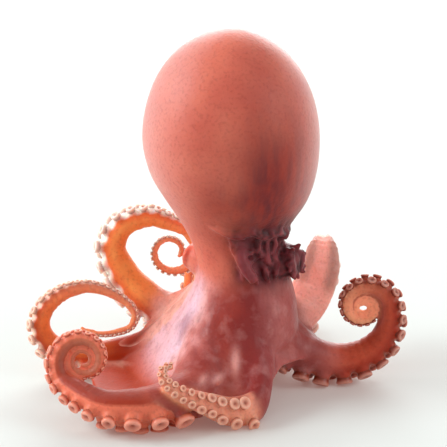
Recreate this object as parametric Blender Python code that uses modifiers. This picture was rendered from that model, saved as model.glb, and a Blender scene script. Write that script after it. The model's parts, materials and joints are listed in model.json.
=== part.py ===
"""A whole small octopus, boiled, standing on its own curled arms.

One solid: a tall egg-shaped mantle on a narrow neck, a low crown, a short web,
and eight tapering arms that curl with their suckers outwards. +Z is up, +X is
to the right of the side that is shown, and -Y is that side. The origin is at
the middle of the base. Lengths below are in millimetres, and MM turns them
into metres.
"""
import math

import bmesh
import bpy
from mathutils import Matrix, Vector

MM = 0.001

# The mantle is a dome above its widest level; under it come the neck and the
# crown, each level given by its height, its radius and its shift to the right.
MANTLE_TOP = 85.0
MANTLE_RADIUS = 20.0
MANTLE_MIDDLE = 60.0
MANTLE_SHIFT = 0.6
MANTLE_DEPTH_SHARE = 0.96
NECK_PROFILE = (
    (52.5, 18.9, 1.1), (46.0, 16.1, 1.9), (40.0, 12.4, 1.9), (35.0, 10.4, 2.3), (30.0, 10.0, 3.1),
    (25.5, 11.2, 3.4), (20.5, 13.2, 2.8), (15.5, 14.6, 1.6), (11.5, 14.2, 0.6), (8.6, 11.0, 0.4), (7.6, 6.0, 0.4),
)
DOME_STEPS = 12
BODY_SIDES = 84

# The eyes and the siphon stand out from the head: (centre, three radii).
HEAD_BUMPS = {
    "right_eye": ((12.4, -2.0, 31.6), (4.6, 4.6, 4.4)),
    "left_eye": ((-5.6, 3.5, 30.0), (4.2, 4.6, 4.4)),
    "siphon": ((3.2, -9.3, 28.0), (2.2, 3.0, 3.8)),
}

# An arm's radius falls from its root to its tip as a power of a cosine.
ARM_ROOT_RADIUS = 5.5
ARM_TIP_RADIUS = 0.7
TAPER_POWER = 2.2
SLOW_TAPER = {"front": 1.15}
POINTS_A_TURN = 12
POINTS_BETWEEN = 3
ARM_BEVEL_STEPS = 3

# The arms in order round the crown. Each has the points of its route, then its
# curl (centre, axis, turns, and what one turn leaves of the curl's radius), and
# last how stout it is beside the others.
ARMS = {
    "right": (
        ((5, -1, 17), (11, -0.5, 11.5), (17.5, 0.5, 7.0), (24.5, 1.5, 4.8), (31, 2, 5.8), (35.7, 2.2, 9.3),
         (38.0, 2.2, 14.0), (38.2, 2.2, 18.8)),
        ((31.5, 2.2, 18.8), (0, -1, 0), 2.0, 0.44), 1.08,
    ),
    "ear": (
        ((5, 3, 18), (10.5, 6.5, 14.6), (14.6, 10.5, 12.8), (17.8, 14, 14.2), (20.2, 15.8, 18.6), (21.8, 16.4, 23.4),
         (22.4, 18.4, 27.0), (22.6, 21.8, 27.8), (22.5, 25.2, 25.4)),
        ((22.4, 22.2, 21.2), (-1, 0, 0), 1.75, 0.42), 1.2,
    ),
    "back_low": (
        ((4, 6, 15), (9, 14, 8.6), (13.5, 22, 4.4), (17, 30, 3.3), (15, 36.5, 2.5), (9.5, 37.5, 2.2)),
        ((10.2, 31.8, 2.2), (0, 0, 1), 1.3, 0.45), 0.95,
    ),
    "back": (
        ((-1, 6, 16), (-3, 14, 9.2), (-5, 23, 4.4), (-7, 30.5, 4.4), (-8.2, 35.5, 9.0)),
        ((-7, 30, 15.0), (1, 0.2, 0), 1.9, 0.42), 0.95,
    ),
    "back_left": (
        ((-4, 5, 15), (-11, 9, 13.5), (-18, 13, 15.0), (-24.6, 15, 21.0), (-27.8, 16, 28.0),
         (-25.4, 16.5, 34.0), (-18.6, 17, 36.2), (-13.2, 17, 34.6)),
        ((-13.4, 17, 27.2), (0, 1, 0), 1.35, 0.42), 1.0,
    ),
    "left": (
        ((-6, 1, 15), (-14, 3, 9.5), (-22, 5, 5.6), (-31, 5, 4.6), (-39, 4, 6.2), (-43.4, 3, 11), (-43.6, 3, 16.5),
         (-39.5, 4, 21), (-33, 5, 22.8), (-26.5, 5, 21), (-22, 4, 17.4), (-22.2, 3, 14.0), (-25.6, 2, 12.6),
         (-30, 1, 12.6), (-34, 1, 13.6)),
        None, 1.0,
    ),
    "front_left": (
        ((-3, -5, 15), (-5.0, -12, 9.8), (-7.2, -19.3, 6.2), (-11.4, -25.0, 5.6), (-16.6, -28.6, 5.7),
         (-22.5, -30, 5.9), (-28.5, -29, 6.4), (-35, -24.6, 8.6)),
        ((-32.2, -21.6, 14.8), (0.1, 1, -0.25), 1.75, 0.44), 1.3,
    ),
    "front": (
        ((4, -6, 16), (6.4, -12.5, 9.8), (7.4, -18.8, 5.4), (5.4, -23.4, 3.7), (0.8, -25.8, 4.0), (-3.6, -27.8, 6.2),
         (-7.8, -29.4, 8.6), (-11.6, -30.2, 10.8), (-14.2, -29.4, 13.0), (-14.3, -27.6, 15.0), (-12.2, -26.6, 15.2)),
        None, 0.95,
    ),
}

# The web hangs like a tent from the head down to the arms. Each web has its two
# arms, how far the tent reaches along either, how much further it then follows
# each, and the share of the reach by which its edge dips back halfway between.
WEBS = (
    ("right", "ear", 25.0, 17.0, 0.0, 0.0, 0.10), ("ear", "back_low", 17.0, 20.0, 0.0, 0.0, 0.25),
    ("back_low", "back", 20.0, 22.0, 0.0, 0.0, 0.30), ("back", "back_left", 22.0, 18.0, 0.0, 0.0, 0.30),
    ("back_left", "left", 18.0, 24.0, 0.0, 0.0, 0.28), ("left", "front_left", 24.0, 24.0, 9.0, 20.0, 0.06),
    ("front_left", "front", 24.0, 20.0, 0.0, 13.0, 0.0), ("front", "right", 20.0, 25.0, 0.0, 0.0, 0.20),
)
WEB_THICKNESS = 1.8
WEB_ROWS, FURTHER_ROWS, WEB_COLUMNS = 12, 8, 12
TENT_TOP = Vector((3.0, 0.0, 27.0))
TENT_TOP_RADIUS = 8.5
TENT_SHOULDER = 0.45
SHOULDER_LIFT, EDGE_LIFT = 4.4, 1.2

# How the tubes and sheets become one skin, and how coarse that skin is.
VOXEL = 0.62
SMOOTH_TIMES = 3
KEPT_FACES = 9400
FOOT_SLAB = (200.0, 200.0, 20.0)
FOOT_LIFT = 0.45

FLESH_COLOUR = (0.50, 0.13, 0.09, 1.0)
FLESH_ROUGHNESS = 0.4


def clear_scene():
    for item in list(bpy.data.objects):
        bpy.data.objects.remove(item)


def new_collection(name):
    made = bpy.data.collections.new(name)
    bpy.context.scene.collection.children.link(made)
    return made


def flesh_material():
    made = bpy.data.materials.new("boiled_flesh")
    made.use_nodes = True
    shader = made.node_tree.nodes["Principled BSDF"]
    shader.inputs["Base Color"].default_value = FLESH_COLOUR
    shader.inputs["Roughness"].default_value = FLESH_ROUGHNESS
    shader.inputs["Metallic"].default_value = 0.0
    return made


def smooth_through(points, between):
    """More points on one smooth curve through these (Catmull-Rom)."""
    ends = [2 * points[0] - points[1], *points, 2 * points[-1] - points[-2]]
    found = []
    for a, b, c, d in zip(ends, ends[1:], ends[2:], ends[3:]):
        for step in range(between):
            t = step / between
            found.append(0.5 * (
                2 * b + (c - a) * t + (2 * a - 5 * b + 4 * c - d) * t * t
                + (3 * b - a - 3 * c + d) * t * t * t
            ))
    return [*found, points[-1]]


def curl_points(start, centre, axis, turns, shrink):
    """A spiral that closes in on centre from start, turning about axis."""
    axis = Vector(axis).normalized()
    arm = start - Vector(centre)
    arm -= axis * arm.dot(axis)
    points = []
    for step in range(1, round(turns * POINTS_A_TURN) + 1):
        turned = step / POINTS_A_TURN
        turn = Matrix.Rotation(math.tau * turned, 3, axis)
        points.append(Vector(centre) + turn @ arm * shrink ** turned)
    return points


def arm_line(route, curl, _stoutness):
    points = [Vector(p) for p in route]
    if curl:
        points += curl_points(points[-1], *curl)
    return smooth_through(points, POINTS_BETWEEN)


def lengths_along(line):
    found = [0.0]
    for a, b in zip(line, line[1:]):
        found.append(found[-1] + (b - a).length)
    return found


def arm_radii(line, stoutness, power):
    along = lengths_along(line)
    span = ARM_ROOT_RADIUS * stoutness - ARM_TIP_RADIUS
    return [
        ARM_TIP_RADIUS + span * max(0.0, math.cos(math.pi / 2 * s / along[-1])) ** power
        for s in along
    ]


def body_line():
    """The middle line and the radii of the mantle, neck and crown."""
    height = MANTLE_TOP - MANTLE_MIDDLE
    line, radii = [], []
    for step in range(DOME_STEPS):
        angle = math.pi / 2 * (step + 0.35) / DOME_STEPS
        line.append(Vector((MANTLE_SHIFT, 0, MANTLE_MIDDLE + height * math.cos(angle))))
        radii.append(MANTLE_RADIUS * math.sin(angle))
    above = Vector((line[-2].z, radii[-2], MANTLE_SHIFT))
    keys = [above, Vector((MANTLE_MIDDLE, MANTLE_RADIUS, MANTLE_SHIFT)), *map(Vector, NECK_PROFILE)]
    for key in smooth_through(keys, POINTS_BETWEEN)[POINTS_BETWEEN:]:
        line.append(Vector((key.z, 0, key.x)))
        radii.append(key.y)
    return line, radii


def body_mesh(name, line, radii):
    """The mantle, neck and crown as level rings, a little shallower than wide."""
    shape = bmesh.new()
    rings = []
    for place, radius in zip(line, radii):
        ring = []
        for step in range(BODY_SIDES):
            angle = math.tau * step / BODY_SIDES
            out = Vector((radius * math.cos(angle), MANTLE_DEPTH_SHARE * radius * math.sin(angle), 0))
            ring.append(shape.verts.new((place + out) * MM))
        rings.append(ring)
    for upper, lower in zip(rings, rings[1:]):
        for i in range(BODY_SIDES):
            after = (i + 1) % BODY_SIDES
            shape.faces.new((upper[i], upper[after], lower[after], lower[i]))
    shape.faces.new(rings[0][::-1])
    shape.faces.new(rings[-1])
    mesh = bpy.data.meshes.new(name)
    shape.to_mesh(mesh)
    shape.free()
    return mesh


def tube_mesh(name, line, radii):
    """A tube of changing radius with closed ends, made from a curve."""
    curve = bpy.data.curves.new(name, "CURVE")
    curve.dimensions = "3D"
    curve.bevel_depth = MM
    curve.bevel_resolution = ARM_BEVEL_STEPS
    curve.use_fill_caps = True
    spline = curve.splines.new("POLY")
    spline.points.add(len(line) - 1)
    for point, place, radius in zip(spline.points, line, radii):
        point.co = (*(place * MM), 1.0)
        point.radius = radius
    made = bpy.data.objects.new(name, curve)
    bpy.context.scene.collection.objects.link(made)
    graph = bpy.context.evaluated_depsgraph_get()
    mesh = bpy.data.meshes.new_from_object(made.evaluated_get(graph))
    bpy.data.objects.remove(made)
    return mesh


def point_at(line, along, wanted):
    """The point this far along a line."""
    for i, (a, b) in enumerate(zip(along, along[1:])):
        if b >= wanted:
            return line[i].lerp(line[i + 1], (wanted - a) / (b - a))
    return line[-1].copy()


def tent_curve(shoulder, edge, step):
    """A point of the web, on a curve from the head past its shoulder to its edge."""
    outwards = Vector((shoulder.x - TENT_TOP.x, shoulder.y - TENT_TOP.y, 0)).normalized()
    top = TENT_TOP + TENT_TOP_RADIUS * outwards
    return top.lerp(shoulder, step).lerp(shoulder.lerp(edge, step), step)


def web_mesh(name, lines, reaches, further, dip):
    """The skin between two arms: an open sheet with a dipping edge, given thickness."""
    lengths = [lengths_along(line) for line in lines]

    def between(across, share, lift, beyond=0.0):
        sides = [
            point_at(line, along, reach * share + more * beyond)
            for line, along, reach, more in zip(lines, lengths, reaches, further)
        ]
        return sides[0].lerp(sides[1], across) + Vector((0, 0, lift))

    shape = bmesh.new()
    grid = []
    for column in range(WEB_COLUMNS + 1):
        across = column / WEB_COLUMNS
        hollow = 4 * across * (1 - across)
        shoulder = between(across, TENT_SHOULDER, SHOULDER_LIFT)
        edge = between(across, 1 - dip * hollow, EDGE_LIFT)
        places = [tent_curve(shoulder, edge, row / WEB_ROWS) for row in range(WEB_ROWS + 1)]
        if any(further):
            share = 1 - dip * hollow
            rows = range(1, FURTHER_ROWS + 1)
            places += [between(across, share, EDGE_LIFT, row / FURTHER_ROWS) for row in rows]
        grid.append([shape.verts.new(place * MM) for place in places])
    for left, right in zip(grid, grid[1:]):
        for i in range(len(left) - 1):
            shape.faces.new((left[i], left[i + 1], right[i + 1], right[i]))
    sheet = bpy.data.meshes.new(name)
    shape.to_mesh(sheet)
    shape.free()
    made = bpy.data.objects.new(name, sheet)
    bpy.context.scene.collection.objects.link(made)
    solidify = made.modifiers.new("thickness", "SOLIDIFY")
    solidify.thickness = WEB_THICKNESS * MM
    solidify.offset = 0.0
    graph = bpy.context.evaluated_depsgraph_get()
    mesh = bpy.data.meshes.new_from_object(made.evaluated_get(graph))
    bpy.data.objects.remove(made)
    return mesh


def bump_mesh(name, centre, radii):
    """One egg-shaped bump of the head."""
    shape = bmesh.new()
    place = Matrix.Translation(Vector(centre) * MM) @ Matrix.Diagonal((*(MM * r for r in radii), 1))
    bmesh.ops.create_uvsphere(shape, u_segments=24, v_segments=16, radius=1.0, matrix=place)
    mesh = bpy.data.meshes.new(name)
    shape.to_mesh(mesh)
    shape.free()
    return mesh


def joined(name, meshes):
    """These meshes as one, still passing through each other."""
    shape = bmesh.new()
    for mesh in meshes:
        shape.from_mesh(mesh)
        bpy.data.meshes.remove(mesh)
    bmesh.ops.remove_doubles(shape, verts=shape.verts, dist=0.001 * MM)
    bmesh.ops.recalc_face_normals(shape, faces=shape.faces)
    whole = bpy.data.meshes.new(name)
    shape.to_mesh(whole)
    shape.free()
    return whole


def evaluated_mesh(item):
    graph = bpy.context.evaluated_depsgraph_get()
    return bpy.data.meshes.new_from_object(item.evaluated_get(graph))


def one_skin(item):
    """Melts the overlapping shapes into one closed, rounded skin, then thins it out."""
    remesh = item.modifiers.new("one skin", "REMESH")
    remesh.mode = "VOXEL"
    remesh.voxel_size = VOXEL * MM
    smooth = item.modifiers.new("soft joins", "SMOOTH")
    smooth.iterations = SMOOTH_TIMES
    item.data = evaluated_mesh(item)
    item.modifiers.clear()
    faces = 2 * len(item.data.polygons)
    thin = item.modifiers.new("fewer faces", "DECIMATE")
    thin.ratio = KEPT_FACES / faces
    item.data = evaluated_mesh(item)
    item.modifiers.clear()


def floor_cutter(collection):
    """The slab below the resting plane, which flattens what the octopus stands on."""
    bpy.ops.mesh.primitive_cube_add(size=1.0)
    slab = bpy.context.object
    slab.name = "resting_plane"
    slab.scale = [side * MM for side in FOOT_SLAB]
    slab.location.z = (FOOT_LIFT - FOOT_SLAB[2] / 2) * MM
    bpy.ops.object.transform_apply(location=False, rotation=False, scale=True)
    slab.hide_render = True
    slab.display_type = "WIRE"
    for owner in list(slab.users_collection):
        owner.objects.unlink(slab)
    collection.objects.link(slab)
    return slab


def stand_on_origin(item):
    """Moves the mesh so that the middle of its base is at the origin."""
    low = Vector(min(v.co[axis] for v in item.data.vertices) for axis in range(3))
    high = Vector(max(v.co[axis] for v in item.data.vertices) for axis in range(3))
    middle = (low + high) / 2
    item.data.transform(Matrix.Translation((-middle.x, -middle.y, -low.z)))


def main():
    clear_scene()
    parts = new_collection("small_octopus")
    cutters = new_collection("cutters")
    lines = {name: arm_line(*arm) for name, arm in ARMS.items()}
    meshes = [body_mesh("body", *body_line())]
    for name, line in lines.items():
        radii = arm_radii(line, ARMS[name][2], SLOW_TAPER.get(name, TAPER_POWER))
        meshes.append(tube_mesh(name, line, radii))
    meshes += [bump_mesh(name, *bump) for name, bump in HEAD_BUMPS.items()]
    for first, second, *reaches, dip in WEBS:
        meshes.append(web_mesh(f"web_{first}", (lines[first], lines[second]), reaches[:2], reaches[2:], dip))
    octopus = bpy.data.objects.new("octopus", joined("octopus", meshes))
    parts.objects.link(octopus)
    one_skin(octopus)
    cut = octopus.modifiers.new("flat underneath", "BOOLEAN")
    cut.object = floor_cutter(cutters)
    octopus.data = evaluated_mesh(octopus)
    octopus.modifiers.clear()
    stand_on_origin(octopus)
    octopus.data.materials.append(flesh_material())
    octopus.data.shade_smooth()


main()
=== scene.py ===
# %% [markdown]
# # A small boiled octopus
#
# This notebook dresses a plain, faceted solid of an octopus in its real skin. The solid
# gives the size and the place of everything; the notebook gives it smooth flesh, eight
# tapering arms with two rows of suckers, a wrinkled neck, eyes, and a material that
# lets light into the surface, as cooked flesh does. Lengths are in millimetres until a
# mesh is made, and MM turns them into metres.

# %% The frame: the solid octopus that the skin must fit
import json
import math
import random

import bpy
import numpy as np
from mathutils import Matrix, Vector, kdtree, noise
from mathutils.bvhtree import BVHTree

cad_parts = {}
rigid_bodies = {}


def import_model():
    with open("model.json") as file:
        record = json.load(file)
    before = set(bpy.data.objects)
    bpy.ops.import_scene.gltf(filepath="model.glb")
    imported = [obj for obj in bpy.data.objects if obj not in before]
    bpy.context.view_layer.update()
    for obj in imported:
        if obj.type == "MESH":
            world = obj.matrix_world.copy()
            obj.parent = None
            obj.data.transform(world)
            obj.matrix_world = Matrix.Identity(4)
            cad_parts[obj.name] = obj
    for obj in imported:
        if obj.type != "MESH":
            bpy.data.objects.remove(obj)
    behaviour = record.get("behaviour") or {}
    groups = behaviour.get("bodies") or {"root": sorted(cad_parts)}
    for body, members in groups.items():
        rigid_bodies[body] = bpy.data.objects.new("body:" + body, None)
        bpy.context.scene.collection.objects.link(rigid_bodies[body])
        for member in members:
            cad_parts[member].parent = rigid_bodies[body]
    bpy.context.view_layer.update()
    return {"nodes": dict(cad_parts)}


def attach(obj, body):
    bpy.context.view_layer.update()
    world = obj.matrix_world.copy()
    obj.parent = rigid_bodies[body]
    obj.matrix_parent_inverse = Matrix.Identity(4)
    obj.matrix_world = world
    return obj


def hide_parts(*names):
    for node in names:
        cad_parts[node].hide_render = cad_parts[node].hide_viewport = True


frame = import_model()
MM = 0.001

# %% [markdown]
# ## Where the routes start
#
# The arms' routes and the mantle's profile are given about the mantle's own axis,
# because an octopus is laid out round it. The solid's origin is the middle of its base
# instead, so the axis is found again from the widest part of the mantle. The octopus
# was also pressed half a millimetre into the surface that it stands on.

# %% The mantle's axis in the solid
MANTLE_TOP = 85.0
MANTLE_RADIUS = 20.0
MANTLE_MIDDLE = 60.0
MANTLE_SHIFT = 0.6
PRESSED_IN = 0.45

solid = np.array([v.co for v in frame["nodes"]["octopus"].data.vertices]) / MM
mantle = solid[solid[:, 2] > MANTLE_MIDDLE - 8]
axis_x, axis_y = (mantle[:, :2].min(0) + mantle[:, :2].max(0)) / 2
ORIGIN = np.array([axis_x - MANTLE_SHIFT, axis_y, -PRESSED_IN])
print("the routes start at", ORIGIN.round(2))

# %% [markdown]
# ## Small helpers
#
# Colours are picked as sRGB hex codes, as on any colour picker, and Blender's nodes
# want linear light, so one function converts them. Another makes an object from points
# and faces, and smoothstep turns any measure into a share from 0 to 1 with soft ends.

# %% Helpers for colours, meshes and soft steps
def linear(code, alpha=1.0):
    """An sRGB hex code as linear RGBA."""
    parts = [int(code[i:i + 2], 16) / 255 for i in (1, 3, 5)]
    return (*(p / 12.92 if p <= 0.04045 else ((p + 0.055) / 1.055) ** 2.4 for p in parts), alpha)


def mesh_object(name, points, faces):
    """A mesh object from points in route millimetres."""
    mesh = bpy.data.meshes.new(name)
    mesh.from_pydata(((np.asarray(points) + ORIGIN) * MM).tolist(), [], faces)
    mesh.validate()
    made = bpy.data.objects.new(name, mesh)
    bpy.context.scene.collection.objects.link(made)
    return made


def smoothstep(low, high, value):
    share = np.clip((np.asarray(value, float) - low) / (high - low), 0, 1)
    return share * share * (3 - 2 * share)

# %% [markdown]
# ## The arms' lines
#
# An octopus arm is a long cone of muscle, and cooking curls it up with the suckers on
# the outside. A curl is a logarithmic spiral, the same curve as a snail's shell, since
# each turn shrinks by the same share. So an arm is a few given points for the part that
# lies about, then a spiral that starts where they end. A Catmull-Rom spline goes through
# all of them without overshooting much.

# %% Routes of the eight arms
ARMS = {
    "right": (
        ((5, -1, 17), (11, -0.5, 11.5), (17.5, 0.5, 7.0), (24.5, 1.5, 4.8), (31, 2, 5.8), (35.7, 2.2, 9.3),
         (38.0, 2.2, 14.0), (38.2, 2.2, 18.8)),
        ((31.5, 2.2, 18.8), (0, -1, 0), 2.4, 0.44), 1.08,
    ),
    "ear": (
        ((5, 3, 18), (10.5, 6.5, 14.6), (14.6, 10.5, 12.8), (17.8, 14, 14.2), (20.2, 15.8, 18.6), (21.8, 16.4, 23.4),
         (22.4, 18.4, 27.0), (22.6, 21.8, 27.8), (22.5, 25.2, 25.4)),
        ((22.4, 22.2, 21.2), (-1, 0, 0), 1.75, 0.42), 1.2,
    ),
    "back_low": (
        ((4, 6, 15), (9, 14, 8.6), (13.5, 22, 4.4), (17, 30, 3.3), (15, 36.5, 2.5), (9.5, 37.5, 2.2)),
        ((10.2, 31.8, 2.2), (0, 0, 1), 1.3, 0.45), 0.95,
    ),
    "back": (
        ((-1, 6, 16), (-3, 14, 9.2), (-5, 23, 4.4), (-7, 30.5, 4.4), (-8.2, 35.5, 9.0)),
        ((-7, 30, 15.0), (1, 0.2, 0), 1.9, 0.42), 0.95,
    ),
    "back_left": (
        ((-4, 5, 15), (-11, 9, 13.5), (-18, 13, 15.0), (-24.6, 15, 21.0), (-27.8, 16, 28.0),
         (-25.4, 16.5, 34.0), (-18.6, 17, 36.2), (-13.2, 17, 34.6)),
        ((-13.4, 17, 27.2), (0, 1, 0), 1.35, 0.42), 1.0,
    ),
    "left": (
        ((-6, 1, 15), (-14, 3, 9.5), (-22, 5, 5.6), (-31, 5, 4.6), (-39, 4, 6.2), (-43.4, 3, 11), (-43.6, 3, 16.5),
         (-39.5, 4, 21), (-33, 5, 22.8), (-26.5, 5, 21), (-22, 4, 17.4), (-22.2, 3, 14.0), (-25.6, 2, 12.6),
         (-30, 1, 12.6), (-34, 1, 13.6)),
        None, 1.0,
    ),
    "front_left": (
        ((-3, -5, 15), (-5.0, -12, 9.8), (-7.2, -19.3, 6.2), (-11.4, -25.0, 5.6), (-16.6, -28.6, 5.7),
         (-22.5, -30, 5.9), (-28.5, -29, 6.4), (-35, -24.6, 8.6)),
        ((-32.2, -21.6, 14.8), (0.1, 1, -0.25), 2.0, 0.44), 1.3,
    ),
    "front": (
        ((4, -6, 16), (6.4, -12.5, 9.8), (7.4, -18.8, 5.4), (5.4, -23.4, 3.7), (0.8, -25.8, 4.0), (-3.6, -27.8, 6.2),
         (-7.8, -29.4, 8.6), (-11.6, -30.2, 10.8), (-14.2, -29.4, 13.0), (-14.3, -27.6, 15.0), (-12.2, -26.6, 15.2)),
        None, 0.95,
    ),
}
POINTS_A_TURN = 12
POINTS_BETWEEN = 8


def smooth_through(points, between):
    """More points on one smooth curve through these (Catmull-Rom)."""
    points = np.asarray(points, float)
    ends = np.vstack([2 * points[0] - points[1], points, 2 * points[-1] - points[-2]])
    found = []
    for a, b, c, d in zip(ends, ends[1:], ends[2:], ends[3:]):
        for t in np.arange(between) / between:
            found.append(0.5 * (
                2 * b + (c - a) * t + (2 * a - 5 * b + 4 * c - d) * t * t
                + (3 * b - a - 3 * c + d) * t ** 3
            ))
    return np.array([*found, points[-1]])


def curl_points(start, centre, axis, turns, shrink):
    """A spiral that closes in on centre from start, turning about axis."""
    axis = Vector(axis).normalized()
    arm = Vector(start) - Vector(centre)
    arm -= axis * arm.dot(axis)
    points = []
    for step in range(1, round(turns * POINTS_A_TURN) + 1):
        turned = step / POINTS_A_TURN
        turn = Matrix.Rotation(math.tau * turned, 3, axis)
        points.append(Vector(centre) + turn @ arm * shrink ** turned)
    return points


def arm_line(route, curl):
    points = [*route, *(curl_points(route[-1], *curl) if curl else [])]
    return smooth_through(points, POINTS_BETWEEN)


lines = {name: arm_line(route, curl) for name, (route, curl, _) in ARMS.items()}
for name, line in lines.items():
    print(f"{name} arm: {np.linalg.norm(np.diff(line, axis=0), axis=1).sum():.0f} mm long")

# %% [markdown]
# ## Which way the suckers face
#
# A swept section needs a direction at each point of the line that doesn't spin. It is
# carried along from point to point, only ever tipped enough to stay square to the line.
# It starts out facing down, where the mouth is, so a curl that rises from the floor
# keeps its suckers on its outer side by itself. Some arms also twist on their way,
# which is given as (share of the length, degrees).

# %% Frames and thickness along the arms
TWISTS = {
    "front_left": ((0.0, 0), (0.22, 38), (1.0, 30)),
    "front": ((0.12, 0), (0.42, 128), (1.0, 136)),
    "ear": ((0.12, 0), (0.34, 33), (1.0, 36)),
    "back_low": ((0.15, 0), (0.45, -80), (1.0, -80)),
    "left": ((0.0, 0), (0.3, 22), (0.4, 8), (0.5, -16), (0.6, -28), (1.0, -26)),
    "right": ((0.0, 0), (0.4, -10), (1.0, -6)),
    "back_left": ((0.0, 0), (0.3, 16), (1.0, 10)),
}
ARM_ROOT_RADIUS = 5.5
ARM_TIP_RADIUS = 0.7
TAPER_POWER = 2.2
WIDE_SHARE = 0.84
TALL_SHARE = 0.80
ROOT_SHARE = 0.90
FLATTENED = {  # how much wider than usual, at these shares of the length
    "ear": ((0.2, 1.0), (0.33, 1.2), (0.42, 1.32), (0.47, 1.18), (0.52, 0.7), (0.6, 0.6), (1.0, 0.8)),
    "front": ((0.2, 1.0), (0.5, 1.1)),
}
SLOW_TAPER = {"front": 1.15}
THINNEST = 0.55


def carried_along(line):
    """Unit tangents and unit directions towards the suckers, before any twist."""
    tangents = np.gradient(line, axis=0)
    tangents /= np.linalg.norm(tangents, axis=1)[:, None]
    facing = np.array([0.0, 0.0, -1.0])
    directions = []
    for tangent in tangents:
        facing = facing - tangent * facing.dot(tangent)
        facing = facing / np.linalg.norm(facing)
        directions.append(facing)
    return tangents, np.array(directions)


def arm_shape(name):
    """Everything that varies along one arm, as arrays."""
    line = lines[name]
    tangents, facing = carried_along(line)
    along = np.concatenate([[0], np.cumsum(np.linalg.norm(np.diff(line, axis=0), axis=1))])
    share = along / along[-1]
    stops, degrees = zip(*TWISTS.get(name, ((0, 0), (1, 0))))
    twist = np.radians(np.interp(share, stops, degrees))[:, None]
    facing = facing * np.cos(twist) + np.cross(tangents, facing) * np.sin(twist)
    span = ARM_ROOT_RADIUS * ARMS[name][2] - ARM_TIP_RADIUS
    power = SLOW_TAPER.get(name, TAPER_POWER)
    radius = ARM_TIP_RADIUS + span * np.cos(math.pi / 2 * np.minimum(share, 1)) ** power
    root = 1 - smoothstep(0.05, 0.3, share)
    wide = np.maximum(radius * (WIDE_SHARE + (ROOT_SHARE - WIDE_SHARE) * root), THINNEST)
    wide = wide * np.interp(share, *zip(*FLATTENED.get(name, ((0, 1.0), (1, 1.0)))))
    tall = np.maximum(radius * (TALL_SHARE + (ROOT_SHARE - TALL_SHARE) * root), THINNEST)
    return {
        "middle": line - facing * np.maximum(radius - tall, 0)[:, None], "facing": facing,
        "side": np.cross(tangents, facing), "tangent": tangents, "along": along, "share": share,
        "radius": radius, "wide": wide, "tall": tall,
    }


shapes = {name: arm_shape(name) for name in ARMS}
print("the left arm's muscle is", (shapes["left"]["wide"][[0, -1]] * 2).round(1), "mm wide at its root and tip")

# %% [markdown]
# ## The section of an arm
#
# Cut across, a cooked arm is a round back of firm muscle over a flatter underside, and
# the suckers make up almost half of its thickness. The solid's arms stand for muscle
# and suckers together, so the muscle here fills only its back part. Each arm becomes
# a tube of such sections, which is easy to make as rings of points along the line.

# %% Tubes for the arms
ARM_SIDES = 28
SUCKER_SIDE_FLATNESS = 0.86
CUPPED = {"ear": 0.62}


def ring_tube(rings):
    """Points and faces of a closed tube from rings of points."""
    count, sides = rings.shape[:2]
    faces = [
        (i * sides + j, i * sides + (j + 1) % sides, (i + 1) * sides + (j + 1) % sides, (i + 1) * sides + j)
        for i in range(count - 1) for j in range(sides)
    ]
    faces += [tuple(range(sides))[::-1], tuple(range((count - 1) * sides, count * sides))]
    return rings.reshape(-1, 3), faces


def arm_rings(name):
    shape = shapes[name]
    turn = np.linspace(0, math.tau, ARM_SIDES, endpoint=False)
    across, out = np.cos(turn), np.sin(turn)
    hollowed = CUPPED.get(name, 0) * smoothstep(0.25, 0.45, shape["share"])[:, None] * (1 - np.abs(across)) ** 0.8
    out = np.where(out > 0, out * SUCKER_SIDE_FLATNESS, out * (1 - hollowed))
    rings = (
        shape["middle"][:, None]
        + shape["side"][:, None] * (shape["wide"][:, None] * across)[..., None]
        + shape["facing"][:, None] * (shape["tall"][:, None] * out)[..., None]
    )
    tip = shape["middle"][-1] + shape["tangent"][-1] * shape["tall"][-1] * 0.8
    return np.concatenate([rings, [rings[-1] * 0.5 + tip * 0.5]])


flesh = [ring_tube(arm_rings(name)) for name in shapes]
print(len(flesh), "arms of", ARM_SIDES, "sides")

# %% [markdown]
# ## Mantle, neck and crown
#
# The mantle is the big bag behind the eyes. It narrows to a neck with the head in it,
# then widens into the crown that the arms grow from. All of it is round about one
# line, so it is lofted from rings whose radius follows a smooth profile. The same
# profile later tells how far the neck's surface is from its axis at any height.

# %% The body's profile and loft
NECK_PROFILE = (
    (52.5, 18.9, 1.1), (46.0, 16.1, 1.9), (40.0, 12.4, 1.9), (35.0, 10.4, 2.3), (30.0, 10.0, 3.1),
    (25.5, 11.2, 3.4), (20.5, 13.2, 2.8), (15.5, 14.6, 1.6), (11.5, 14.2, 0.6), (8.6, 11.0, 0.4), (7.6, 6.0, 0.4),
)
MANTLE_DEPTH_SHARE = 0.96
DOME_STEPS = 30
BODY_SIDES = 96

dome = math.pi / 2 * (np.arange(DOME_STEPS) + 0.35) / DOME_STEPS
dome = np.stack([
    MANTLE_MIDDLE + (MANTLE_TOP - MANTLE_MIDDLE) * np.cos(dome),
    MANTLE_RADIUS * np.sin(dome),
    np.full(DOME_STEPS, MANTLE_SHIFT),
], 1)
keys = [dome[-6], (MANTLE_MIDDLE, MANTLE_RADIUS, MANTLE_SHIFT), *NECK_PROFILE]
neck = smooth_through(keys, POINTS_BETWEEN)[POINTS_BETWEEN:]
profile = np.vstack([dome, neck])


def body_point(angle, height, proud=0.0):
    """A point on the body's surface, or proud of it. Angle 0 is right and -90 is the front."""
    order = np.argsort(profile[:, 0])
    radius = np.interp(height, profile[order, 0], profile[order, 1]) + proud
    shift = np.interp(height, profile[order, 0], profile[order, 2])
    angle = math.radians(angle)
    return Vector((shift + radius * math.cos(angle), MANTLE_DEPTH_SHARE * radius * math.sin(angle), height))


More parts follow.
